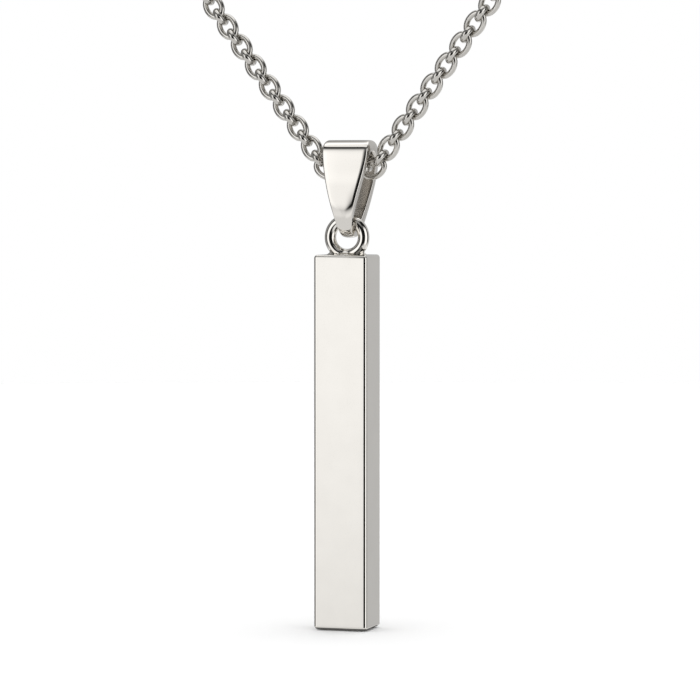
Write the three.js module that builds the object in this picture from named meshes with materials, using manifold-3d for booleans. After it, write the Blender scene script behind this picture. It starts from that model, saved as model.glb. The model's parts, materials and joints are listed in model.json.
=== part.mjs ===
// A bar pendant hooked on a tapered bail and a whole loop of cable chain.
// Millimetres, +Z up. The chain's loop lies in the XZ plane and the pendant faces -Y.
// The origin is at the nape: the underside of the clasp, where the necklace hangs from.

import * as THREE from 'three';
import { RoundedBoxGeometry } from 'three/addons/geometries/RoundedBoxGeometry.js';
import { mergeVertices } from 'three/addons/utils/BufferGeometryUtils.js';
import Module from 'manifold-3d';

const wasm = await Module();
wasm.setup();

// Bar
const BAR_WIDTH = 5.05;
const BAR_DEPTH = 4.3;
const BAR_HEIGHT = 34;
const BAR_EDGE_RADIUS = 0.3;
const BAR_SIDESTEP = 0.3; // how far the bar hangs to the left of the bail's middle

// Eye ring of round wire, half sunk in the bar's top and soldered there
const EYE_WIRE = 1.05;
const EYE_RADIUS = 1.58; // to the middle of the wire
const SOLDER_WIDTH = 2.9;
const SOLDER_DEPTH = 1.3;
const SOLDER_HEIGHT = 0.32;

// Bail: a strip bent into a closed loop, wide at its crown and narrow at its foot
const BAIL_HEIGHT = 8.85;
const BAIL_DEPTH = 5.2;
const BAIL_CROWN_WIDTH = 4.4;
const BAIL_FOOT_WIDTH = 1.05;
const BAIL_CROWN_THICKNESS = 1.1;
const BAIL_LEG_THICKNESS = 0.95;
const BAIL_FOOT_THICKNESS = 0.8;
const BAIL_BEVEL = 0.12;
const CROWN_PLAY = 0.5; // between the chain and the underside of the crown
const BAIL_SQUARENESS = 2.5; // power of the loop's side outline, where 2 is an ellipse
const BAIL_TAPER = 1.5; // power of the taper, where more keeps the foot narrow for longer
const FACET_TOP = 0.7; // the front is cut flat from this far below the crown's top
const FACET_END = 2.5; // down to this far above the foot's underside

// Chain of round-wire links, long and short in turn, each a quarter turn from the next
const LINK_WIRE = 0.45;
const LONG_LINK = { length: 2.6, width: 1.95 }; // nearly flat in the loop's plane
const SHORT_LINK = { length: 1.36, width: 1.8 }; // across it
const LONG_LINK_TURN = THREE.MathUtils.degToRad(11.5); // lays two ends side by side in a short one
const LINK_BITE = 0.065; // how deep two links press into each other where they pull
const NECKLACE_LENGTH = 450; // along the middle of the chain, all the way round
const LEG_ANGLE = THREE.MathUtils.degToRad(53.9); // of the two straight legs above level
const LEVEL_STEPS = 4; // links from corner to corner of the level stretch in the bail
const FRONT_LINKS = 20; // links on each side of the middle one that are modelled singly

// Clasp: one plain barrel
const CLASP_LENGTH = 9;
const CLASP_DIAMETER = 3.2;
const CLASP_END_DIAMETER = 2.2;
const CLASP_TAPER_LENGTH = 1.2;

const CLEARANCE = 0.3; // between other pieces that rest on or end at each other

// Facets
const LINK_SIDES = 12;
const LINK_WIRE_SIDES = 6;
const EYE_SIDES = 32;
const EYE_WIRE_SIDES = 12;
const BAIL_STEPS = 56;
const ROUND_SIDES = 16;
const EDGE_STEPS = 3;
const BACK_TUBE_SIDES = 8;
const BACK_TUBE_STEPS = 40;

// Steel, polished
const STEEL = new THREE.MeshStandardMaterial({ color: 0xd9d7d3, roughness: 0.12, metalness: 1 });
const CHAIN_STEEL = new THREE.MeshStandardMaterial({ color: 0xc9c7c3, roughness: 0.2, metalness: 1 });

// The loop: level in the bail, two straight legs, and a circle that both legs touch
const linkPitch = (LONG_LINK.length + SHORT_LINK.length) / 2 - 2 * LINK_WIRE + LINK_BITE;
const levelLength = LEVEL_STEPS * linkPitch;
const turnOfSide = Math.PI - LEG_ANGLE;
const circleRadius = (NECKLACE_LENGTH - levelLength + levelLength / Math.cos(LEG_ANGLE))
  / (2 * (Math.tan(LEG_ANGLE) + turnOfSide));
const legLength = (circleRadius * Math.sin(LEG_ANGLE) - levelLength / 2) / Math.cos(LEG_ANGLE);
const circleZ = CLASP_DIAMETER / 2 - circleRadius;
const levelZ = circleZ - circleRadius * Math.cos(LEG_ANGLE) - legLength * Math.sin(LEG_ANGLE);

// A point of the chain's middle, at a signed distance along it from the middle of the bail
function pointOnLoop(distance) {
  const side = distance < 0 ? -1 : 1;
  const along = Math.abs(distance);
  const upLeg = along - levelLength / 2;
  if (upLeg <= 0) return new THREE.Vector3(distance, 0, levelZ);
  if (upLeg <= legLength) {
    const x = levelLength / 2 + upLeg * Math.cos(LEG_ANGLE);
    return new THREE.Vector3(side * x, 0, levelZ + upLeg * Math.sin(LEG_ANGLE));
  }
  const heading = LEG_ANGLE + (upLeg - legLength) / circleRadius;
  const x = circleRadius * Math.sin(heading);
  return new THREE.Vector3(side * x, 0, circleZ - circleRadius * Math.cos(heading));
}

// A stretch of the loop between two distances
class LoopStretch extends THREE.Curve {
  constructor(from, to) {
    super();
    this.from = from;
    this.to = to;
  }

  getPoint(share, target = new THREE.Vector3()) {
    return target.copy(pointOnLoop(this.from + share * (this.to - this.from)));
  }
}

function solidOf(geometry) {
  const bare = geometry.clone();
  bare.deleteAttribute('normal');
  bare.deleteAttribute('uv');
  const merged = mergeVertices(bare);
  return new wasm.Manifold(new wasm.Mesh({
    numProp: 3,
    vertProperties: new Float32Array(merged.attributes.position.array),
    triVerts: new Uint32Array(merged.index.array),
  }));
}

function geometryOf(solid) {
  const mesh = solid.getMesh();
  const geometry = new THREE.BufferGeometry();
  geometry.setAttribute('position', new THREE.BufferAttribute(mesh.vertProperties, 3));
  geometry.setIndex(new THREE.BufferAttribute(mesh.triVerts, 1));
  geometry.computeVertexNormals();
  return geometry;
}

function join(geometries) {
  const solids = geometries.map(solidOf);
  return geometryOf(solids.reduce((whole, solid) => whole.add(solid)));
}

// The bar with its eye ring. Its own origin is the middle of the eye's topmost wire.
function barWithEye() {
  const bar = new RoundedBoxGeometry(BAR_WIDTH, BAR_DEPTH, BAR_HEIGHT, EDGE_STEPS, BAR_EDGE_RADIUS);
  const barTop = -2 * EYE_RADIUS;
  bar.translate(0, 0, barTop - BAR_HEIGHT / 2);
  const eye = new THREE.TorusGeometry(EYE_RADIUS, EYE_WIRE / 2, EYE_WIRE_SIDES, EYE_SIDES);
  eye.rotateX(Math.PI / 2).translate(0, 0, -EYE_RADIUS);
  const solder = new THREE.SphereGeometry(1, ROUND_SIDES, ROUND_SIDES / 2);
  solder.scale(SOLDER_WIDTH / 2, SOLDER_DEPTH / 2, SOLDER_HEIGHT).translate(0, 0, barTop);
  return join([bar, eye, solder]);
}

// A point of an upright superellipse in the YZ plane
function superellipse(halfDepth, bottom, top, angle) {
  const bulge = (value) => Math.sign(value) * Math.abs(value) ** (2 / BAIL_SQUARENESS);
  const middle = (top + bottom) / 2;
  return new THREE.Vector3(
    0,
    halfDepth * bulge(Math.cos(angle)),
    middle + ((top - bottom) / 2) * bulge(Math.sin(angle)),
  );
}

// The bail's own origin is the middle of the chain that it hangs on
const bailInnerTop = LONG_LINK.width / 2 + CROWN_PLAY;
const bailTop = bailInnerTop + BAIL_CROWN_THICKNESS;
const bailFoot = bailTop - BAIL_HEIGHT;
const bailInnerFoot = bailFoot + BAIL_FOOT_THICKNESS;

function bailHalfWidth(z) {
  const share = THREE.MathUtils.clamp((z - bailFoot) / BAIL_HEIGHT, 0, 1);
  const taper = Math.sin((share * Math.PI) / 2) ** BAIL_TAPER;
  return (BAIL_FOOT_WIDTH + (BAIL_CROWN_WIDTH - BAIL_FOOT_WIDTH) * taper) / 2;
}

// The outline's half depth at a height
function bailHalfDepth(z) {
  const fromMiddle = Math.abs(z - (bailTop + bailFoot) / 2) / (BAIL_HEIGHT / 2);
  const bulge = (1 - fromMiddle ** BAIL_SQUARENESS) ** (1 / BAIL_SQUARENESS);
  return (BAIL_DEPTH / 2) * bulge;
}

// What is cut from the front: a box whose back face runs from the crease under the crown to
// the end of the flat near the foot
function facetCutter() {
  const top = new THREE.Vector2(-bailHalfDepth(bailTop - FACET_TOP), bailTop - FACET_TOP);
  const end = new THREE.Vector2(-bailHalfDepth(bailFoot + FACET_END), bailFoot + FACET_END);
  const size = 2 * BAIL_HEIGHT;
  const cutter = new THREE.BoxGeometry(size, size, size).translate(0, -size / 2, 0);
  const lean = Math.atan2(end.x - top.x, top.y - end.y);
  return cutter.rotateX(lean).translate(0, (top.x + end.x) / 2, (top.y + end.y) / 2);
}

// The bail: an eight-cornered section carried round the loop, then cut flat in front
function bail() {
  const positions = [];
  for (let step = 0; step < BAIL_STEPS; step += 1) {
    const angle = (2 * Math.PI * step) / BAIL_STEPS;
    const outer = superellipse(BAIL_DEPTH / 2, bailFoot, bailTop, angle);
    const halfInside = BAIL_DEPTH / 2 - BAIL_LEG_THICKNESS;
    const inner = superellipse(halfInside, bailInnerFoot, bailInnerTop, angle);
    const halfWidth = bailHalfWidth((outer.z + inner.z) / 2);
    const bevel = BAIL_BEVEL / outer.distanceTo(inner);
    const corners = [
      [halfWidth - BAIL_BEVEL, 0],
      [halfWidth, bevel],
      [halfWidth, 1 - bevel],
      [halfWidth - BAIL_BEVEL, 1],
    ];
    const mirrored = corners.map(([x, depth]) => [-x, depth]).reverse();
    for (const [x, depth] of [...corners, ...mirrored]) {
      const point = outer.clone().lerp(inner, depth);
      positions.push(x, point.y, point.z);
    }
  }
  const sectionCorners = positions.length / 3 / BAIL_STEPS;
  const triangles = [];
  for (let step = 0; step < BAIL_STEPS; step += 1) {
    const next = (step + 1) % BAIL_STEPS;
    for (let corner = 0; corner < sectionCorners; corner += 1) {
      const after = (corner + 1) % sectionCorners;
      const a = step * sectionCorners + corner;
      const b = step * sectionCorners + after;
      const c = next * sectionCorners + after;
      const d = next * sectionCorners + corner;
      triangles.push(a, c, b, a, d, c);
    }
  }
  const geometry = new THREE.BufferGeometry();
  geometry.setAttribute('position', new THREE.Float32BufferAttribute(positions, 3));
  geometry.setIndex(triangles);
  return geometryOf(solidOf(geometry).subtract(solidOf(facetCutter())));
}

// Makes a ring longer along X without thinning its wire: each point moves out by the given
// amount times its share of the way round to the end
function lengthen(ring, amount) {
  const position = ring.attributes.position;
  for (let index = 0; index < position.count; index += 1) {
    const x = position.getX(index);
    const y = position.getY(index);
    position.setX(index, x + (amount * x) / Math.hypot(x, y));
  }
}

// One link in place: a ring of wire, nearly flat in the loop's plane or standing across it
function link(index) {
  const isLong = index % 2 === 0;
  const size = isLong ? LONG_LINK : SHORT_LINK;
  const wire = LINK_WIRE / 2;
  const ring = new THREE.TorusGeometry(size.width / 2 - wire, wire, LINK_WIRE_SIDES, LINK_SIDES);
  lengthen(ring, (size.length - size.width) / 2);
  if (isLong) ring.rotateX(Math.PI / 2).rotateZ(-LONG_LINK_TURN);
  const distance = index * linkPitch;
  const before = pointOnLoop(distance - linkPitch / 2);
  const after = pointOnLoop(distance + linkPitch / 2);
  const rise = Math.atan2(after.z - before.z, after.x - before.x);
  const place = pointOnLoop(distance);
  return ring.rotateY(-rise).translate(place.x, place.y, place.z);
}

function frontChain() {
  const links = [];
  for (let index = -FRONT_LINKS; index <= FRONT_LINKS; index += 1) links.push(link(index));
  return join(links);
}

// The stretch from the last single link to the clasp, as a tube as thick as the links are wide
function backChain(side) {
  const lastLink = FRONT_LINKS % 2 === 0 ? LONG_LINK : SHORT_LINK;
  const first = FRONT_LINKS * linkPitch + lastLink.length / 2 + CLEARANCE;
  const last = NECKLACE_LENGTH / 2 - CLASP_LENGTH / 2 - CLEARANCE;
  const section = new THREE.Shape();
  for (let corner = 0; corner < BACK_TUBE_SIDES; corner += 1) {
    const angle = (2 * Math.PI * corner) / BACK_TUBE_SIDES;
    const x = (LONG_LINK.width / 2) * Math.cos(angle);
    const y = (LONG_LINK.width / 2) * Math.sin(angle);
    if (corner === 0) section.moveTo(x, y);
    else section.lineTo(x, y);
  }
  section.closePath();
  return new THREE.ExtrudeGeometry(section, {
    steps: BACK_TUBE_STEPS,
    extrudePath: new LoopStretch(side * first, side * last),
  });
}

function clasp() {
  const half = CLASP_LENGTH / 2;
  const barrelEnd = half - CLASP_TAPER_LENGTH;
  const outline = [
    [0, -half],
    [CLASP_END_DIAMETER / 2, -half],
    [CLASP_DIAMETER / 2, -barrelEnd],
    [CLASP_DIAMETER / 2, barrelEnd],
    [CLASP_END_DIAMETER / 2, half],
    [0, half],
  ].map(([radius, along]) => new THREE.Vector2(radius, along));
  return new THREE.LatheGeometry(outline, ROUND_SIDES).rotateZ(Math.PI / 2);
}

function piece(name, geometry, material) {
  const mesh = new THREE.Mesh(geometry, material);
  mesh.name = name;
  return mesh;
}

const necklace = new THREE.Group();
necklace.add(piece('chain_front', frontChain(), CHAIN_STEEL));
necklace.add(piece('chain_back_left', backChain(-1), CHAIN_STEEL));
necklace.add(piece('chain_back_right', backChain(1), CHAIN_STEEL));

const claspPiece = piece('clasp', clasp(), STEEL);
claspPiece.position.z = circleZ + circleRadius;
necklace.add(claspPiece);

// The pendant turns about the level chain in the bail, and the bar about the bail's foot
const pendant = new THREE.Group();
pendant.position.z = levelZ;
pendant.add(piece('bail', bail(), STEEL));
necklace.add(pendant);

const drop = new THREE.Group();
drop.position.set(-BAR_SIDESTEP, 0, bailInnerFoot + CLEARANCE + EYE_WIRE / 2);
drop.add(piece('bar', barWithEye(), STEEL));
pendant.add(drop);

export default necklace;
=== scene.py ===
import json
import math

import bmesh
import bpy
import numpy as np
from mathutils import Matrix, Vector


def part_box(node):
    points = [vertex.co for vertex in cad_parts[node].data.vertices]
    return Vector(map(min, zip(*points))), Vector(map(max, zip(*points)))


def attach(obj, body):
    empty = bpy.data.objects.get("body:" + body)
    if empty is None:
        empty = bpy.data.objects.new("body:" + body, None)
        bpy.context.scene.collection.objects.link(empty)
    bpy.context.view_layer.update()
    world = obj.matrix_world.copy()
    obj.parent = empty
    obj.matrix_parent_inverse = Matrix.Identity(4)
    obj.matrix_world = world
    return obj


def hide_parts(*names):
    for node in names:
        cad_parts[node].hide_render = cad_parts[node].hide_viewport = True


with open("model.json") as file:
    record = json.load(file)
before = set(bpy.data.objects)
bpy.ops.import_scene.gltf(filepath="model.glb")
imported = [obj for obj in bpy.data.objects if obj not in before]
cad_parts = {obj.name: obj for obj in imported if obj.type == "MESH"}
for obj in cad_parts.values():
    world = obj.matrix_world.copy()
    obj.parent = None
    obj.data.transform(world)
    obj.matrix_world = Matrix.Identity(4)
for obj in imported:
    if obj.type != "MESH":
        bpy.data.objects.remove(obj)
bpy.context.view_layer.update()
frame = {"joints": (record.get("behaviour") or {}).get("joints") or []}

# Shapes are worked out in millimetres and put into their meshes in metres
MM = 0.001
joints = {joint["name"]: np.array(joint["pos_m"]) / MM for joint in frame["joints"]}
LEVEL_CHAIN = joints["bail_swing"]  # middle of the chain inside the bail
EYE_TOP = joints["bar_swing"]  # middle of the eye ring's topmost wire
bar_low, bar_high = (np.array(corner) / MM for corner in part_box("bar"))
bail_low, bail_high = (np.array(corner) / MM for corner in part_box("bail"))
clasp_low, clasp_high = (np.array(corner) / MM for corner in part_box("clasp"))

# Bar and eye ring
BAR_EDGE_RADIUS = 0.3
EYE_WIRE = 2 * (bar_high[2] - EYE_TOP[2])
EYE_RADIUS = 1.58  # of its wire's middle
BAR_TOP = EYE_TOP[2] - 2 * EYE_RADIUS
SOLDER_HALF = (1.6, 0.44)  # of the ellipse round the eye's foot, along X and Y
SOLDER_SPREAD = 0.45  # how far it runs out from that
SOLDER_HEIGHT = 0.28
SOLDER_INSET = 0.6  # the share of its half depth by which its flat top lies inside the ellipse
SOLDER_SUNK = 0.2  # how far its rim goes down into the bar
SHARP_ANGLE = math.radians(35)  # past which an edge of the bar is shaded as a sharp one

# Bail
BAIL_CROWN_THICKNESS = 1.1
BAIL_LEG_THICKNESS = 0.95
BAIL_FOOT_THICKNESS = 0.8
BAIL_CROWN_WIDTH = 4.4
BAIL_FOOT_WIDTH = 1.05
BAIL_SQUARENESS = 2.5  # of its side outline, where 2 is an ellipse
BAIL_TAPER = 1.5
BAIL_BEVEL = 0.13
BAIL_CROWN_ROUNDING = 0.2  # more bevel at the two ends of the crown
BAIL_ROUNDING_POWER = 6  # keeps it there
BAIL_DOME = 0.1  # of the outer side, from edge to middle, at the foot
FACET_TOP = 0.7  # below the crown
FACET_END = 2.5  # above the foot
FACET_CREASES = (0.2, 0.006)  # how soft its edge is, at the crown and near the foot
FACET_BULGE = 0.226
FACET_DOME = 0.02  # from edge to middle

# Chain. Its wires are a little thicker than in the frame, as in the photograph
LONG_LINK = (2.7, 1.97, 0.52)  # length, width and wire, nearly flat in the loop's plane
SHORT_LINK = (1.84, 2.15, 0.62)  # the same, across it
LONG_LINK_TURN = math.radians(13.1)  # lays two ends side by side in a short one
LINK_PITCH = 1.145
NECKLACE_LENGTH = 450
LEG_ANGLE = math.radians(53.9)
LEVEL_STEPS = 4  # pitches of level chain inside the bail
FRONT_LINKS = 20  # on each side of the middle one
NEAR_MESH = (48, 16)  # sides of a link and of its wire
FAR_MESH = (14, 6)
END_WEAR_AND_SHADE = 8  # the power that keeps wear to the ends of a link and the edges of the bail, and with it the painted shade at the ends of links

# Clasp: half of the barrel's outline, as distance from its middle and radius
BARREL_OUTLINE = (
    (0, 1.48), (0.05, 1.48), (0.13, 1.6), (1.5, 1.6), (1.58, 1.48), (1.7, 1.48), (1.78, 1.57),
    (2.1, 1.56), (2.18, 1.46), (2.5, 1.36), (2.95, 1.1), (3.25, 0.85), (3.42, 0.55), (3.48, 0),
)  # fmt: skip
RIDGE_RADII = (1.5, 1.6)  # where wear begins and is full

# Metals: colour, colour where dulled, worn or (at the ends of links) painted with shade, and least
# roughness
BAR_STEEL = ((0.845, 0.82, 0.777), (0.745, 0.722, 0.68), 0.025)
BAIL_STEEL = ((0.8, 0.772, 0.73), (0.745, 0.722, 0.68), 0.03)
# Painted shade: a darker tint for the bail's inner side, which lies in shade
BAIL_INSIDE_SHADE = (0.66, 0.635, 0.6)
LINK_STEEL = ((0.7, 0.68, 0.645), (0.5, 0.485, 0.455), 0.15)
CLASP_STEEL = ((0.8, 0.777, 0.735), (0.745, 0.722, 0.68), 0.1)
BAR_WEAR_WIDTH = 0.7

# Their patterns, in noise cells for each metre
FILM_SCALE = 420.0
HAIRLINE_SCALE = 1000.0
PATCH_SCALE = 1800.0
HAIRLINE_STOPS = [(0.5, 0.0), (0.72, 1.0)]  # the share of the noise that shows as hairlines
FILM_DULLS, RUB_AND_SHADE_DULLS = 0.6, 0.5
FILM_ROUGHENS, HAIRLINES_ROUGHEN, RUB_ROUGHENS, INSIDE_ROUGHENS = 0.03, 0.03, 0.08, 0.1
INSIDE_SHADE_SHARE, INSIDE_SHADE_PATCHES = 0.75, 0.3  # of the painted shade on the bail's inner side
BUMP_STRENGTH, BUMP_DEPTH, BUMP_PATCHES = 0.03, 0.00001, 0.3

# Floor and lamp
FLOOR_REACH = 420
FLOOR_GAP = 0.1
FLOOR_LEVEL = bar_low[2] - FLOOR_GAP
# The second level is painted shade: a dark sheet under the bar that stands in for the floor's
# shadow there
FLOOR_PALE, FLOOR_PAINTED_SHADE = 0.93, 0.12
FOOT_SHADE = 0.12  # how far the mirrored painted shade reaches past the bar's foot
MIRRORED_DIMMING = 0.99  # how much darker the surround is in the metal than for the camera
LAMP_HEIGHT = 0.55  # in metres, above the nape
LAMP_SIZE = 0.5
LAMP_POWER = 1.1

# Light cards that the metal mirrors: name, the two angles from the camera's side, the two
# elevations, brightness, the shares that fade at the two sides, those that fade below and above,
# and distance. Between the two keys it stays dark, which draws the black lines along the edges
CARDS = (
    ("key_left", (-72, -29), (-36, 48), 1.12, (0.1, 0.12), (0.413, 0.33), 620),
    ("key_left_high", (-72, -29), (16, 40), 0.12, (0.1, 0.12), (0.35, 0.5), 610),
    ("key_left_side", (-72, -37), (-36, 36), 0.15, (0.3, 0.1), (0.3, 0.2), 630),
    ("key_right", (30, 78), (-30, 40), 1.3, (0.06, 0.1), (0.2, 0.25), 620),
    ("front_low", (-34, 26), (-40, -13), 0.2, (0.1, 0.1), (0.3, 0.4), 590),
    ("front_high", (-26, 28), (20, 56), 0.3, (0.3, 0.3), (0.35, 0.2), 580),
    ("back_right", (98, 188), (-40, 80), 0.545, (0.1, 0.18), (0.17, 0.15), 620),
    ("back_left", (-188, -80), (-40, 80), 0.26, (0.15, 0.1), (0.17, 0.15), 610),
    ("back_high", (100, 260), (38, 72), 0.45, (0.2, 0.2), (0.3, 0.3), 630),
    ("overhead", (-180, 180), (54, 90), 1.05, (0, 0), (0.33, 0), 640),
    ("below", (-180, 180), (-90, -13), 0.78, (0, 0), (0, 0.234), 600),
)

# Camera, at the photograph's angle and distance
CAMERA_AZIMUTH = math.radians(17.5)
CAMERA_PITCH = math.radians(2.6)
CAMERA_DISTANCE = 345
CAMERA_ABOVE_FLOOR = 41
CAMERA_ASIDE = 0.27
CAMERA_LENS = 195.4


def build(name, points, faces, body=None, slot=None, *nodes):
    """Makes one piece from points in millimetres, and says what it rides on and stands for. What
    has no body is only a helper or part of the studio."""
    mesh = bpy.data.meshes.new(name)
    mesh.from_pydata((np.asarray(points) * MM).tolist(), [], [list(face) for face in faces])
    mesh.update()
    mesh.polygons.foreach_set("use_smooth", [True] * len(mesh.polygons))
    piece = bpy.data.objects.new(name, mesh)
    bpy.context.scene.collection.objects.link(piece)
    if body:
        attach(piece, body)
        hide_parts(*nodes)
    return piece


def mark(piece, name, amount):
    """Keeps a share from 0 to 1 on each point: how worn it is, and at the ends of links how much
    shade is painted, or how far inside.
    """
    layer = piece.data.attributes.new(name, "FLOAT", "POINT")
    layer.data.foreach_set("value", np.ascontiguousarray(amount, np.float32).ravel())


def grid_faces(rows, columns, close_rows=False, close_columns=False):
    """Quads between neighbouring points of a grid, by index, with either way closed on itself."""
    row = np.arange(rows if close_rows else rows - 1)
    column = np.arange(columns if close_columns else columns - 1)
    r, c = (a.ravel() for a in np.meshgrid(row, column, indexing="ij"))
    r_next, c_next = (r + 1) % rows, (c + 1) % columns
    return np.stack(
        [r * columns + c, r * columns + c_next, r_next * columns + c_next, r_next * columns + c],
        axis=1,
    )


def ring_grid(radius_x, radius_z, wire, sides, wire_sides):
    """Points of a wire ring in the XZ plane: the ellipse (a cos u, 0, b sin u), and round each of
    its points a circle in the plane of the outward normal and Y."""
    u = np.linspace(0, 2 * math.pi, sides, endpoint=False)[:, None]
    v = np.linspace(0, 2 * math.pi, wire_sides, endpoint=False)[None, :]
    normal_x, normal_z = radius_z * np.cos(u), radius_x * np.sin(u)
    length = np.hypot(normal_x, normal_z)
    out = wire / 2 * np.cos(v)
    x = radius_x * np.cos(u) + out * normal_x / length
    z = radius_z * np.sin(u) + out * normal_z / length
    y = wire / 2 * np.sin(v) + 0 * u
    return np.stack([x, y, z], axis=-1).reshape(-1, 3)


def ring_faces(sides, wire_sides):
    """The faces of such a ring."""
    return grid_faces(sides, wire_sides, close_rows=True, close_columns=True)


def clean(piece):
    """Merges doubled points, drops faces without area and turns all faces outwards."""
    mesh = bmesh.new()
    mesh.from_mesh(piece.data)
    bmesh.ops.remove_doubles(mesh, verts=mesh.verts, dist=1e-7)
    bmesh.ops.dissolve_degenerate(mesh, edges=mesh.edges, dist=1e-8)
    bmesh.ops.recalc_face_normals(mesh, faces=mesh.faces)
    mesh.to_mesh(piece.data)
    mesh.free()
    return piece


def apply_modifiers(piece):
    """Puts what the piece's modifiers give into its mesh."""
    graph = bpy.context.evaluated_depsgraph_get()
    piece.data = bpy.data.meshes.new_from_object(piece.evaluated_get(graph))
    piece.modifiers.clear()


def rounded_box(low, high, radius, steps=8):
    """A box with round edges: on a grid of directions, each point is the nearest inner corner plus
    the radius times its direction, with every direction on an axis plane taken for both sides."""
    quarter = np.linspace(0, math.pi / 2, steps + 1)
    turn = np.concatenate([quarter + side * math.pi / 2 for side in range(4)])
    sign_x = np.repeat([1, -1, -1, 1], steps + 1)
    sign_y = np.repeat([1, 1, -1, -1], steps + 1)
    rise = np.concatenate([quarter - math.pi / 2, quarter])
    sign_z = np.repeat([-1, 1], steps + 1)
    middle, half = (high + low) / 2, (high - low) / 2 - radius
    x = middle[0] + sign_x * half[0] + radius * np.cos(turn) * np.cos(rise)[:, None]
    y = middle[1] + sign_y * half[1] + radius * np.sin(turn) * np.cos(rise)[:, None]
    z = middle[2] + (sign_z * half[2] + radius * np.sin(rise))[:, None] + 0 * x
    points = np.stack([x, y, z], axis=-1).reshape(-1, 3)
    rows, columns = len(rise), len(turn)
    faces = grid_faces(rows, columns, close_columns=True).tolist()
    corners = np.arange(4) * (steps + 1)
    faces.append(corners[::-1].tolist())
    faces.append((corners + (rows - 1) * columns).tolist())
    return points, faces


def solder_mound(centre, top):
    """Solder drawn up round the eye's foot. Outside an ellipse the height falls with the square of
    the way out, its middle is flat, and a straight rim goes a little way down into the bar."""
    turn = np.linspace(0, 2 * math.pi, 64, endpoint=False)[None, :]
    outside = np.linspace(1, 0, 12)[:, None]
    slope, inner_edge = SOLDER_HEIGHT * (1 - outside) ** 2, -SOLDER_HALF[1] * SOLDER_INSET
    height = np.concatenate([[[-SOLDER_SUNK]], slope, [[SOLDER_HEIGHT]]])
    spread = np.concatenate([[[SOLDER_SPREAD]], SOLDER_SPREAD * outside, [[inner_edge]]])
    x = centre + (SOLDER_HALF[0] + spread) * np.cos(turn)
    y = (SOLDER_HALF[1] + spread) * np.sin(turn)
    z = top + height + 0 * turn
    points = np.stack([x, y, z], axis=-1).reshape(-1, 3)
    rows, columns = x.shape
    faces = grid_faces(rows, columns, close_columns=True).tolist()
    faces.append(list(range(columns))[::-1])
    faces.append([(rows - 1) * columns + i for i in range(columns)])
    return points, faces


def make_bar():
    """The bar, the eye ring and the solder, joined into one body."""
    high = np.array([bar_high[0], bar_high[1], BAR_TOP])
    points, faces = rounded_box(bar_low, high, BAR_EDGE_RADIUS)
    bar = clean(build("bar_and_eye", points, faces, "bar", "bar_metal", "bar"))
    sides, wire_sides = 96, 32
    eye_points = ring_grid(EYE_RADIUS, EYE_RADIUS, EYE_WIRE, sides, wire_sides)
    eye_points += [EYE_TOP[0], 0, EYE_TOP[2] - EYE_RADIUS]
    eye = clean(build("eye_ring", eye_points, ring_faces(sides, wire_sides)))
    solder = clean(build("solder", *solder_mound(EYE_TOP[0], BAR_TOP)))
    for added in (eye, solder):
        union = bar.modifiers.new("join", "BOOLEAN")
        union.operation = "UNION"
        union.solver = "EXACT"
        union.object = added
    apply_modifiers(bar)
    for added in (eye, solder):
        bpy.data.objects.remove(added)
    bar.data.set_sharp_from_angle(angle=SHARP_ANGLE)
    weighted = bar.modifiers.new("flat_faces", "WEIGHTED_NORMAL")
    weighted.weight = 100
    weighted.keep_sharp = True
    return bar


def bail_loop(half_depth, foot, crown, angle):
    """A point of the bail's side outline: half depth and half height times the cosine and the sine,
    each raised to the power of 2 over the squareness, with its sign kept."""
    def bulge(value):
        return np.sign(value) * np.abs(value) ** (2 / BAIL_SQUARENESS)

    middle, half = (crown + foot) / 2, (crown - foot) / 2
    return half_depth * bulge(np.cos(angle)), middle + half * bulge(np.sin(angle))


def half_depth_at(height, half_depth, foot, crown):
    """The outline's half depth at a height, from the same powers."""
    from_middle = abs(height - (crown + foot) / 2) / ((crown - foot) / 2)
    return half_depth * (1 - from_middle**BAIL_SQUARENESS) ** (1 / BAIL_SQUARENESS)


def press_flat(y, z, half_depth, foot, crown, aside):
    """Presses the outer side back to a nearly flat face between two heights of the outline. At the
    share s of the way down the face bulges as s squared times 1 - s, and it falls off with the
    square of the way aside. What stands a distance d before the face goes back by half the sum of
    d and the root of d squared plus the crease squared."""
    heights = np.array([crown - FACET_TOP, foot + FACET_END])
    fronts = np.array([-half_depth_at(height, half_depth, foot, crown) for height in heights])
    down = np.array([fronts[1] - fronts[0], heights[1] - heights[0]])
    normal = np.array([down[1], -down[0]]) / np.hypot(*down)
    before = (y - fronts[0]) * normal[0] + (z - heights[0]) * normal[1]
    along = ((y - fronts[0]) * down[0] + (z - heights[0]) * down[1]) / (down @ down)
    along = np.clip(along, 0, 1)
    bulge_peak = (2 / 3) ** 2 / 3
    before = before - FACET_BULGE * along**2 * (1 - along) / bulge_peak + FACET_DOME * aside**2
    crease = FACET_CREASES[0] + (FACET_CREASES[1] - FACET_CREASES[0]) * along
    back = (before + np.sqrt(before**2 + crease**2)) / 2
    return y - back * normal[0], z - back * normal[1]


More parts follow.
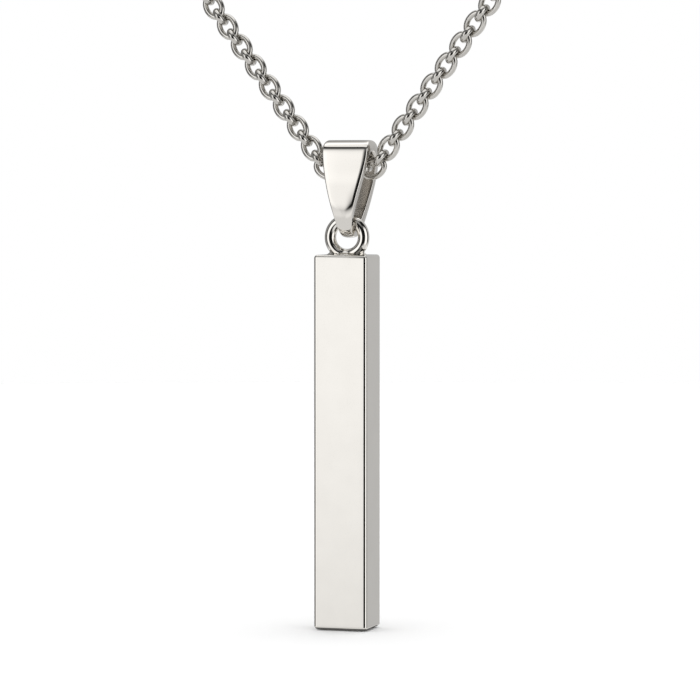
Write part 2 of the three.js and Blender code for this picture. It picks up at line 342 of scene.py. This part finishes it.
def make_bail():
    """The bent strip: round the loop, a section with a slightly domed outer side and quarter
    circles for its four corners. In front the outer side is pressed flat."""
    steps, corner_steps, dome_steps = 480, 6, 12
    foot, crown = bail_low[2], bail_high[2]
    angle = np.linspace(0, 2 * math.pi, steps, endpoint=False)
    depth = bail_high[1]
    outer_y, outer_z = bail_loop(depth, foot, crown, angle)
    inner_y, inner_z = bail_loop(
        depth - BAIL_LEG_THICKNESS, foot + BAIL_FOOT_THICKNESS, crown - BAIL_CROWN_THICKNESS, angle
    )
    share = np.clip(((outer_z + inner_z) / 2 - foot) / (crown - foot), 0, 1)
    widening = np.sin(share * math.pi / 2) ** BAIL_TAPER
    half_width = (BAIL_FOOT_WIDTH + (BAIL_CROWN_WIDTH - BAIL_FOOT_WIDTH) * widening) / 2
    at_crown = np.clip(np.sin(angle), 0, 1) ** BAIL_ROUNDING_POWER
    bevel = BAIL_BEVEL + BAIL_CROWN_ROUNDING * at_crown
    half_width, bevel = half_width[:, None], bevel[:, None]
    corner = np.linspace(0, math.pi / 2, corner_steps + 1)
    across = np.linspace(-1, 1, dome_steps + 1)[1:-1]
    # Along the section: its place across, as shares of the flat half width and of the bevel,
    # and its depth from the outer side, in bevels or up from the inner side
    flat = np.concatenate([across, np.ones(corner_steps + 1), np.ones(corner_steps + 1)])
    flat = np.concatenate([flat, -across, -np.ones(2 * corner_steps + 2)])
    right = np.concatenate([np.sin(corner), np.cos(corner)])
    bevel_out = np.concatenate([0 * across, right, 0 * across, -right])
    down = np.concatenate([0 * across, 1 - np.cos(corner), -(1 - np.sin(corner)), 0 * across])
    down = np.concatenate([down, -(1 - np.cos(corner)), 1 - np.sin(corner)])
    from_inner = np.concatenate(
        [0 * across, 0 * corner, 1 + 0 * corner, 1 + 0 * across, 1 + 0 * corner, 0 * corner]
    )
    x = flat * (half_width - bevel) + bevel_out * bevel
    outer_y, outer_z, inner_y, inner_z = (
        line[:, None] + 0 * x for line in (outer_y, outer_z, inner_y, inner_z)
    )
    thickness = np.hypot(outer_y - inner_y, outer_z - inner_z)
    dome = BAIL_DOME * (1 - share[:, None]) * (x / half_width) ** 2 / thickness
    outer_y, outer_z = outer_y + (inner_y - outer_y) * dome, outer_z + (inner_z - outer_z) * dome
    outer_y, outer_z = press_flat(outer_y, outer_z, depth, foot, crown, x / half_width)
    thickness = np.hypot(outer_y - inner_y, outer_z - inner_z)
    into = down * bevel / thickness + from_inner
    y, z = outer_y + (inner_y - outer_y) * into, outer_z + (inner_z - outer_z) * into
    points = np.stack([x, y, z], axis=-1).reshape(-1, 3)
    faces = ring_faces(steps, x.shape[1])
    bail = build("bail_strip", points, faces, "bail", "bail_metal", "bail")
    mark(bail, "wear", np.clip(np.abs(x) / half_width, 0, 1) ** END_WEAR_AND_SHADE)
    # Where the bail's inner side gets its painted shade and more roughness
    mark(bail, "inner", from_inner + 0 * x)
    return clean(bail)


# The chain hangs level in the bail, runs up two straight legs and goes on as one arc, and its
# length gives that arc's radius
half_turn = math.pi - LEG_ANGLE
level_length = LEVEL_STEPS * LINK_PITCH
circle_radius = (NECKLACE_LENGTH - level_length + level_length / math.cos(LEG_ANGLE)) / (
    2 * (math.tan(LEG_ANGLE) + half_turn)
)
leg_length = (circle_radius * math.sin(LEG_ANGLE) - level_length / 2) / math.cos(LEG_ANGLE)
CLASP_MIDDLE = (clasp_low[2] + clasp_high[2]) / 2
circle_z = CLASP_MIDDLE - circle_radius
LAST_LINK = int((NECKLACE_LENGTH / 2 - clasp_high[0]) / LINK_PITCH)


def loop_points(distance):
    """The chain's middle at signed distances from the middle of the bail: level, then up a
    straight leg, then round the circle."""
    along = np.abs(distance)
    up_leg = np.clip(along - level_length / 2, 0, leg_length)
    turned = np.clip(along - level_length / 2 - leg_length, 0, None) / circle_radius
    on_arc = turned > 0
    heading = LEG_ANGLE + turned
    x = np.minimum(along, level_length / 2) + up_leg * math.cos(LEG_ANGLE)
    z = LEVEL_CHAIN[2] + up_leg * math.sin(LEG_ANGLE)
    x = np.where(on_arc, circle_radius * np.sin(heading), x)
    z = np.where(on_arc, circle_z - circle_radius * np.cos(heading), z)
    return np.stack([np.sign(distance) * x, 0 * x, z], axis=-1)


def place_links(indices, sides, wire_sides):
    """Points, faces and wear of many links: even ones long and flat in the loop's plane, odd ones
    short and turned a quarter, each tilted to the line between its neighbours and moved to its
    place on the loop. The wear is the share along the link, to a high power, and at the ends,
    where the links interlock, it is also painted shade."""
    long_ring, short_ring = (
        ring_grid((length - wire) / 2, (width - wire) / 2, wire, sides, wire_sides)
        for length, width, wire in (LONG_LINK, SHORT_LINK)
    )
    across = np.stack([short_ring[:, 0], short_ring[:, 2], -short_ring[:, 1]], axis=-1)
    cos, sin = math.cos(LONG_LINK_TURN), math.sin(LONG_LINK_TURN)
    x, y, z = long_ring.T
    turned = np.stack([x * cos + y * sin, y * cos - x * sin, z], axis=-1)
    distance = indices * LINK_PITCH
    step = loop_points(distance + LINK_PITCH / 2) - loop_points(distance - LINK_PITCH / 2)
    rise = np.arctan2(step[:, 2], step[:, 0])[:, None]
    local = np.where((indices % 2 == 0)[:, None, None], turned, across)
    x = local[..., 0] * np.cos(rise) - local[..., 2] * np.sin(rise)
    z = local[..., 0] * np.sin(rise) + local[..., 2] * np.cos(rise)
    points = np.stack([x, local[..., 1], z], axis=-1) + loop_points(distance)[:, None, :]
    one = ring_faces(sides, wire_sides)
    faces = one[None] + (np.arange(len(indices)) * len(across))[:, None, None]
    # Painted shade, together with wear, at the ends of each link where it holds its neighbours
    reach = np.abs(local[..., 0])
    wear = (reach / reach.max(axis=1, keepdims=True)) ** END_WEAR_AND_SHADE
    return points.reshape(-1, 3), faces.reshape(-1, 4), wear.ravel()


def make_links(name, node, indices, mesh_sides):
    """One piece of many links, which stands for one node."""
    points, faces, wear = place_links(indices, *mesh_sides)
    links = build(name, points, faces, "chain", "chain_metal", node)
    mark(links, "wear", wear)
    return links


def make_chain():
    """All of the chain's links, the hidden ones with a coarser mesh."""
    front = np.arange(-FRONT_LINKS, FRONT_LINKS + 1)
    back = np.arange(FRONT_LINKS + 1, LAST_LINK + 1)
    return [
        make_links("links_front", "chain_front", front, NEAR_MESH),
        make_links("links_back_left", "chain_back_left", -back, FAR_MESH),
        make_links("links_back_right", "chain_back_right", back, FAR_MESH),
    ]


def make_clasp():
    """The barrel, its outline interpolated, smoothed and turned round the axis, and at each end
    an eyelet that takes the last link: one more short link, half sunk in the barrel's end."""
    rows, columns, window = 360, 64, 5
    outline = np.array(BARREL_OUTLINE)
    along = np.linspace(-outline[-1, 0], outline[-1, 0], rows)
    radius = np.interp(np.abs(along), outline[:, 0], outline[:, 1])
    radius[window:-window] = np.convolve(radius, np.ones(window) / window, "same")[window:-window]
    turn = np.linspace(0, 2 * math.pi, columns, endpoint=False)
    y = radius[:, None] * np.cos(turn)
    z = CLASP_MIDDLE + radius[:, None] * np.sin(turn)
    barrel = np.stack([along[:, None] + 0 * y, y, z], axis=-1).reshape(-1, 3)
    eyelets = np.array([-LAST_LINK - 1, LAST_LINK + 1])
    rings, ring_quads, wear = place_links(eyelets, *NEAR_MESH)
    barrel_quads = grid_faces(rows, columns, close_columns=True)
    faces = np.concatenate([barrel_quads, ring_quads + len(barrel)])
    clasp = build(
        "clasp_barrel", np.concatenate([barrel, rings]), faces, "chain", "clasp_metal", "clasp"
    )
    start, full = RIDGE_RADII
    ridge = np.clip((radius - start) / (full - start), 0, 1)[:, None] + 0 * y
    mark(clasp, "wear", np.concatenate([ridge.ravel(), wear]))
    return clean(clasp)


class Value:
    """A shader socket with arithmetic: each operator adds its Math node."""

    def __init__(self, tree, socket):
        self.tree = tree
        self.socket = socket

    def math(self, operation, *inputs):
        node = self.tree.nodes.new("ShaderNodeMath")
        node.operation = operation
        for slot, given in zip(node.inputs, inputs):
            connect(self.tree, slot, given)
        return Value(self.tree, node.outputs[0])

    def __add__(self, other):
        return self.math("ADD", self, other)

    def __mul__(self, other):
        return self.math("MULTIPLY", self, other)

    def __sub__(self, other):
        return self.math("SUBTRACT", self, other)

    def __rsub__(self, other):
        return self.math("SUBTRACT", other, self)

    def size(self):
        return self.math("ABSOLUTE", self)

    def least(self, other):
        return self.math("MINIMUM", self, other)

    def most(self, other):
        return self.math("MAXIMUM", self, other)

    __radd__ = __add__
    __rmul__ = __mul__


def connect(tree, socket, given):
    if isinstance(given, Value):
        tree.links.new(given.socket, socket)
    else:
        socket.default_value = given


class Nodes:
    """A node tree that is filled by one method."""

    def __init__(self, tree):
        self.tree = tree
        tree.nodes.clear()

    def add(self, kind, settings=None, sockets=None, output=0):
        """One node: its settings first, then the values or links of its sockets."""
        node = self.tree.nodes.new(kind)
        for name, value in (settings or {}).items():
            if name == "stops":
                ramp = node.color_ramp.elements
                while len(ramp) < len(value):
                    ramp.new(1.0)
                for stop, (position, level) in zip(ramp, value):
                    stop.position = position
                    stop.color = (level, level, level, 1)
            else:
                setattr(node, name, value)
        for name, given in (sockets or {}).items():
            connect(self.tree, node.inputs[name], given)
        if not node.outputs:
            return node
        return Value(self.tree, node.outputs[output])


def marked(nodes, name):
    """A share that was kept on the piece's points."""
    return nodes.add("ShaderNodeAttribute", {"attribute_name": name}, output=2)


def marked_wear_and_shade(nodes, place):
    """The wear of a piece that was marked with it, which on links is also painted shade, called as
    bar_edge_wear is.
    """
    return marked(nodes, "wear")


def bar_edge_wear(nodes, place):
    """Wear beside the bar's edges: on its surface, the middle one of the three distances to its
    pairs of faces is the distance to the nearest edge."""
    high = np.array([bar_high[0], bar_high[1], BAR_TOP])
    middle, half = (bar_low + high) / 2 * MM, (high - bar_low) / 2 * MM
    distance = []
    for axis in range(3):
        way = nodes.add("ShaderNodeSeparateXYZ", sockets={"Vector": place}, output=axis)
        distance.append(float(half[axis]) - (way - float(middle[axis])).size())
    a, b, c = distance
    nearest = a.least(b).most(a.most(b).least(c))
    return nodes.add(
        "ShaderNodeMapRange",
        {"interpolation_type": "SMOOTHSTEP"},
        {"Value": nearest, "From Min": BAR_WEAR_WIDTH * MM, "From Max": 0.0},
    )


def new_material(name):
    """A material and its empty node tree."""
    material = bpy.data.materials.new(name)
    material.use_nodes = True
    return material, Nodes(material.node_tree)


def polished(name, steel, grain, wear_and_shade_of, inner_shade=None):
    """Polished steel: a tint that drifts slowly, a film of handling that changes the gloss, long
    faint hairlines, and a patchy rub where the piece is worn, which at the ends of links is also
    painted shade. The inner side can get painted shade, a darker tint. The grain squeezes the
    hairlines along each axis."""
    tint, dull_tint, roughness = steel
    material, nodes = new_material(name)
    place = nodes.add("ShaderNodeTexCoord", output=3)
    film = nodes.add(
        "ShaderNodeTexNoise",
        sockets={"Vector": place, "Scale": FILM_SCALE, "Detail": 3.0, "Roughness": 0.55},
    )
    stretched = nodes.add("ShaderNodeMapping", sockets={"Vector": place, "Scale": grain})
    hairlines = nodes.add(
        "ShaderNodeTexNoise",
        sockets={"Vector": stretched, "Scale": HAIRLINE_SCALE, "Detail": 4.0, "Roughness": 0.7},
    )
    scratches = nodes.add("ShaderNodeValToRGB", {"stops": HAIRLINE_STOPS}, {"Fac": hairlines})
    patches = nodes.add(
        "ShaderNodeTexNoise",
        sockets={"Vector": place, "Scale": PATCH_SCALE, "Detail": 4.0, "Roughness": 0.65},
    )
    # Patchy wear that dulls and darkens the colour, which at the ends of links is also painted
    # shade
    rub_and_shade = wear_and_shade_of(nodes, place) * patches
    colour = nodes.add(
        "ShaderNodeMix",
        {"data_type": "RGBA"},
        {"Factor": film * FILM_DULLS + rub_and_shade * RUB_AND_SHADE_DULLS, "A": (*tint, 1), "B": (*dull_tint, 1)},
        output=2,
    )
    # Painted shade: the bail's inner side is mixed toward a darker tint
    if inner_shade:
        inner = marked(nodes, "inner")
        share = inner * (patches * INSIDE_SHADE_PATCHES + INSIDE_SHADE_SHARE)
        colour = nodes.add(
            "ShaderNodeMix",
            {"data_type": "RGBA"},
            {"Factor": share, "A": colour, "B": (*inner_shade, 1)},
            output=2,
        )
        roughness = roughness + inner * INSIDE_ROUGHENS
    height = scratches + patches * BUMP_PATCHES
    bump = nodes.add(
        "ShaderNodeBump",
        sockets={"Strength": BUMP_STRENGTH, "Distance": BUMP_DEPTH, "Height": height},
    )
    gloss_loss = film * FILM_ROUGHENS + scratches * HAIRLINES_ROUGHEN + rub_and_shade * RUB_ROUGHENS
    shader = nodes.add(
        "ShaderNodeBsdfPrincipled",
        sockets={
            "Base Color": colour,
            "Metallic": 1.0,
            "Roughness": gloss_loss + roughness,
            "Normal": bump,
        },
    )
    nodes.add("ShaderNodeOutputMaterial", sockets={"Surface": shader})
    return material


def glow(name, brightness, soft_u, soft_v):
    """A clear light card whose glow fades to nothing at its edges, by its own UV map."""
    material, nodes = new_material(name)
    uv = nodes.add("ShaderNodeUVMap", {"uv_map": "UVMap"})
    u = nodes.add("ShaderNodeSeparateXYZ", sockets={"Vector": uv}, output=0)
    v = nodes.add("ShaderNodeSeparateXYZ", sockets={"Vector": uv}, output=1)
    fades = []
    for way, (low, high) in ((u, soft_u), (v, soft_v)):
        for distance, soft in ((way, low), (1 - way, high)):
            fade = nodes.add(
                "ShaderNodeMapRange",
                {"interpolation_type": "SMOOTHSTEP"},
                {"Value": distance, "From Min": 0.0, "From Max": max(soft, 1e-4)},
            )
            fades.append(fade)
    strength = fades[0] * fades[1] * fades[2] * fades[3] * brightness
    light = nodes.add("ShaderNodeEmission", sockets={"Strength": strength})
    clear = nodes.add("ShaderNodeBsdfTransparent")
    both = nodes.add("ShaderNodeAddShader", sockets={0: light, 1: clear})
    nodes.add("ShaderNodeOutputMaterial", sockets={"Surface": both})
    return material


def matt(name, level):
    """A plain matt surface for the floor."""
    material, nodes = new_material(name)
    shader = nodes.add(
        "ShaderNodeBsdfPrincipled",
        sockets={"Base Color": (level, level, level, 1), "Roughness": 0.9},
    )
    nodes.add("ShaderNodeOutputMaterial", sockets={"Surface": shader})
    return material


def only_mirrored(piece):
    """Leaves the piece to reflections, and out of sight and shadow."""
    piece.visible_camera = False
    piece.visible_diffuse = False
    piece.visible_shadow = False


def card(name, azimuth, elevation, brightness, soft_u, soft_v, radius):
    """A light card: the patch of a big sphere round the pendant between two angles from the
    camera's side and two elevations, in degrees."""
    columns, rows = 49, 25
    u, v = np.meshgrid(np.linspace(0, 1, columns), np.linspace(0, 1, rows))
    turn = CAMERA_AZIMUTH + np.radians(azimuth[0] + u * (azimuth[1] - azimuth[0]))
    rise = np.radians(elevation[0] + v * (elevation[1] - elevation[0]))
    x, y = radius * np.sin(turn) * np.cos(rise), -radius * np.cos(turn) * np.cos(rise)
    z = radius * np.sin(rise) + bar_high[2]
    points = np.stack([x, y, z], axis=-1).reshape(-1, 3)
    panel = build(name, points, grid_faces(rows, columns))
    layer = panel.data.uv_layers.new(name="UVMap")
    index = np.zeros(len(panel.data.loops), np.int32)
    panel.data.loops.foreach_get("vertex_index", index)
    layer.data.foreach_set("uv", np.stack([u.ravel()[index], v.ravel()[index]], 1).ravel())
    panel.data.materials.append(glow(name, brightness, soft_u, soft_v))
    only_mirrored(panel)


def make_studio():
    """A pale floor and its lamp, a dark sheet of painted shade under the bar that only the metal
    sees, a surround that is white for the camera and nearly black in the metal, and the cards."""
    world = bpy.data.worlds.new("studio")
    bpy.context.scene.world = world
    world.use_nodes = True
    nodes = Nodes(world.node_tree)
    mirrored = nodes.add("ShaderNodeLightPath", output=3)
    strength = 1.0 - mirrored * MIRRORED_DIMMING
    surround = nodes.add(
        "ShaderNodeBackground", sockets={"Color": (1, 1, 1, 1), "Strength": strength}
    )
    nodes.add("ShaderNodeOutputWorld", sockets={"Surface": surround})
    for settings in CARDS:
        card(*settings)
    turn = np.linspace(0, 2 * math.pi, 64, endpoint=False)
    rim = np.stack([FLOOR_REACH * np.cos(turn), FLOOR_REACH * np.sin(turn), 0 * turn], 1)
    floor = build("floor", rim + [0, 0, FLOOR_LEVEL], [range(64)])
    floor.data.materials.append(matt("pale_floor", FLOOR_PALE))
    floor.visible_glossy = False
    # The metal mirrors only a dark sheet close under the bar: painted shade in place of the floor's
    # shadow there
    low, high = bar_low - FOOT_SHADE, bar_high + FOOT_SHADE
    corners = [(low[0], low[1]), (high[0], low[1]), (high[0], high[1]), (low[0], high[1])]
    corners = [(x, y, FLOOR_LEVEL) for x, y in corners]
    shade = build("painted_shade_under_bar", corners, [range(4)])
    shade.data.materials.append(matt("painted_shade_sheet", FLOOR_PAINTED_SHADE))
    only_mirrored(shade)
    lamp = bpy.data.lights.new("top_light", "AREA")
    lamp.shape = "DISK"
    lamp.size = LAMP_SIZE
    lamp.energy = LAMP_POWER
    light = bpy.data.objects.new("top_light", lamp)
    light.location = (0, 0, LAMP_HEIGHT)
    light.visible_glossy = False
    bpy.context.scene.collection.objects.link(light)


def make_camera():
    """The camera, turned and tilted as in the photograph, with the eye ring near its middle."""
    sin, cos = math.sin(CAMERA_AZIMUTH), math.cos(CAMERA_AZIMUTH)
    data = bpy.data.cameras.new("camera")
    data.lens = CAMERA_LENS
    data.clip_start, data.clip_end = 0.01, 20
    camera = bpy.data.objects.new("camera", data)
    bpy.context.scene.collection.objects.link(camera)
    x = EYE_TOP[0] + CAMERA_DISTANCE * sin + CAMERA_ASIDE * cos
    y = -CAMERA_DISTANCE * cos + CAMERA_ASIDE * sin
    camera.location = (x * MM, y * MM, (bar_low[2] + CAMERA_ABOVE_FLOOR) * MM)
    camera.rotation_euler = (math.pi / 2 - CAMERA_PITCH, 0, CAMERA_AZIMUTH)
    bpy.context.scene.camera = camera


def dress(piece, material):
    """Gives the piece this material and no other."""
    piece.data.materials.clear()
    piece.data.materials.append(material)


make_camera()
make_studio()
bar_steel = polished("bar_steel", BAR_STEEL, (1, 1, 0.04), bar_edge_wear)
bail_steel = polished("bail_steel", BAIL_STEEL, (0.1, 1, 1), marked_wear_and_shade, BAIL_INSIDE_SHADE)
link_steel = polished("link_steel", LINK_STEEL, (1, 1, 1), marked_wear_and_shade)
clasp_steel = polished("clasp_steel", CLASP_STEEL, (0.06, 1, 1), marked_wear_and_shade)
dress(make_bar(), bar_steel)
dress(make_bail(), bail_steel)
for links in make_chain():
    dress(links, link_steel)
dress(make_clasp(), clasp_steel)

bpy.context.scene.view_settings.view_transform = "Standard"
